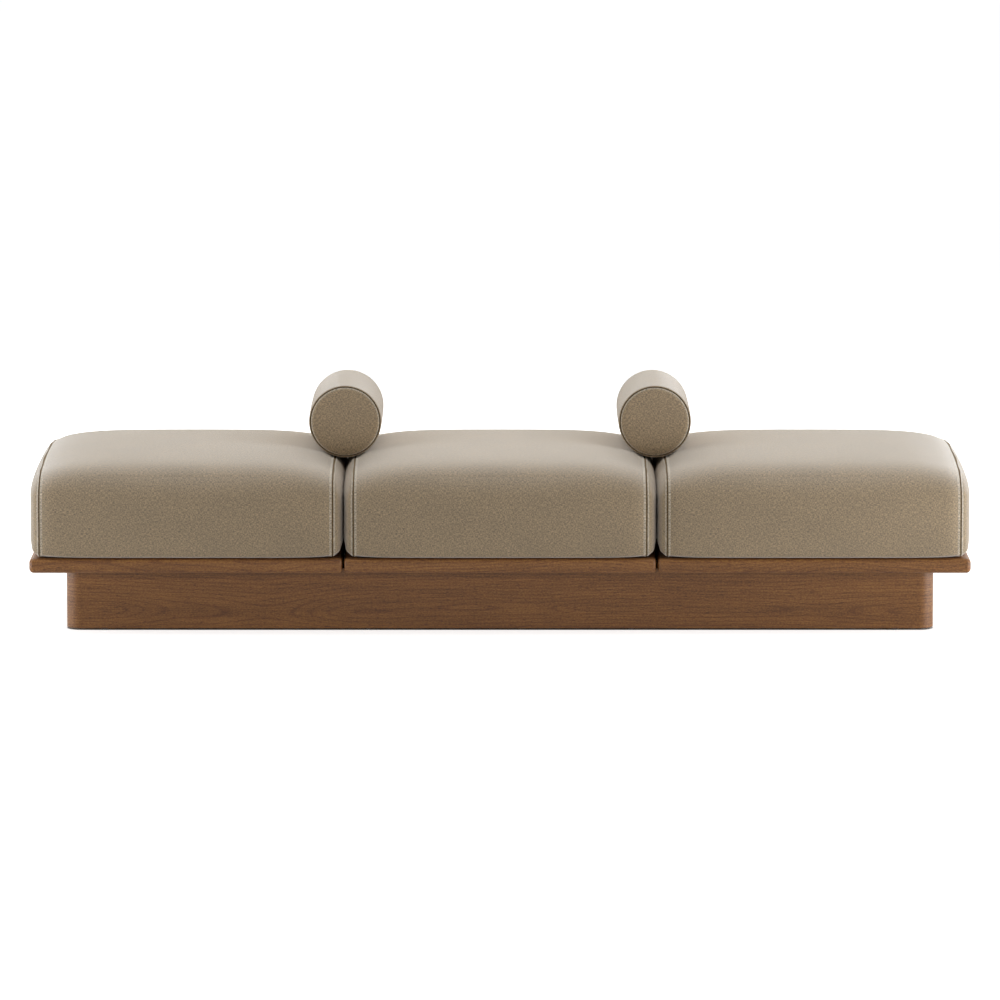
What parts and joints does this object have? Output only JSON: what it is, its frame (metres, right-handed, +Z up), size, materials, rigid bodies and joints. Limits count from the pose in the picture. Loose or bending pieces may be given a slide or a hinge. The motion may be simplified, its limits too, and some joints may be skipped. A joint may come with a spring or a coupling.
{
  "type": "modular sofa",
  "caption": "Low backless modular sofa: loose woven seat cushions side by side on rounded wooden deck boards over a recessed plinth, with round bolsters lying in the joints between seats.",
  "frame": {"origin": "centre of the sofa's footprint, on the floor", "axes": "+X along the sofa to the right as seen from the front, +Y to the back, +Z up"},
  "size_m": [2.4, 0.8, 0.6057],
  "materials": {
    "walnut_veneer": "satin lacquered veneer, grain along the length",
    "walnut_deck": "satin lacquered wood, grain along the length",
    "frame_timber": "planed softwood",
    "zinc_steel": "zinc plated",
    "glide_plastic": "matte black",
    "woven_fabric": "linen-like plain weave",
    "seam_welt": "dark woven cord",
    "base_cloth": "plain lining cloth",
    "foam": "open-cell foam"
  },
  "bodies": {
    "base": {"plinth_veneer_wrap": "walnut_veneer", "plinth_front_board": "frame_timber", "plinth_back_board": "frame_timber", "plinth_left_board": "frame_timber", "plinth_right_board": "frame_timber", "plinth_corner_post_front_left": "frame_timber", "plinth_corner_post_front_right": "frame_timber", "plinth_corner_post_back_left": "frame_timber", "plinth_corner_post_back_right": "frame_timber", "front_batten": "frame_timber", "back_batten": "frame_timber", "cross_bearer_left": "frame_timber", "cross_bearer_right": "frame_timber", "deck_left": "walnut_deck", "deck_middle": "walnut_deck", "deck_right": "walnut_deck", "deck_screw_left_1": "zinc_steel", "deck_screw_left_2": "zinc_steel", "deck_screw_left_3": "zinc_steel", "deck_screw_left_4": "zinc_steel", "deck_screw_middle_1": "zinc_steel", "deck_screw_middle_2": "zinc_steel", "deck_screw_middle_3": "zinc_steel", "deck_screw_middle_4": "zinc_steel", "deck_screw_right_1": "zinc_steel", "deck_screw_right_2": "zinc_steel", "deck_screw_right_3": "zinc_steel", "deck_screw_right_4": "zinc_steel", "glide_front_1": "glide_plastic", "glide_front_2": "glide_plastic", "glide_front_3": "glide_plastic", "glide_front_4": "glide_plastic", "glide_back_1": "glide_plastic", "glide_back_2": "glide_plastic", "glide_back_3": "glide_plastic", "glide_back_4": "glide_plastic"},
    "seat_left": {"seat_cover_left": "woven_fabric", "seat_foam_left": "foam", "seat_base_cloth_left": "base_cloth"},
    "seat_middle": {"seat_cover_middle": "woven_fabric", "seat_foam_middle": "foam", "seat_base_cloth_middle": "base_cloth"},
    "seat_right": {"seat_cover_right": "woven_fabric", "seat_foam_right": "foam", "seat_base_cloth_right": "base_cloth"},
    "bolster_left": {"bolster_cover_left": "woven_fabric", "bolster_front_panel_left": "woven_fabric", "bolster_rear_panel_left": "woven_fabric", "bolster_front_welt_left": "seam_welt", "bolster_rear_welt_left": "seam_welt", "bolster_core_left": "foam"},
    "bolster_right": {"bolster_cover_right": "woven_fabric", "bolster_front_panel_right": "woven_fabric", "bolster_rear_panel_right": "woven_fabric", "bolster_front_welt_right": "seam_welt", "bolster_rear_welt_right": "seam_welt", "bolster_core_right": "foam"}
  },
  "joints": [
    {"name": "middle_seat_lift", "type": "slide", "parent": "base", "child": "seat_middle", "axis": [0, 0, 1], "range_m": [0, 0.3]},
    {"name": "left_seat_draw", "type": "slide", "parent": "base", "child": "seat_left", "axis": [-1, 0, 0], "range_m": [0, 0.35]},
    {"name": "right_seat_draw", "type": "slide", "parent": "base", "child": "seat_right", "axis": [1, 0, 0], "range_m": [0, 0.35]},
    {"name": "left_bolster_lift", "type": "slide", "parent": "seat_middle", "child": "bolster_left", "axis": [0, 0, 1], "range_m": [0, 0.3]},
    {"name": "right_bolster_lift", "type": "slide", "parent": "seat_middle", "child": "bolster_right", "axis": [0, 0, 1], "range_m": [0, 0.3]}
  ]
}
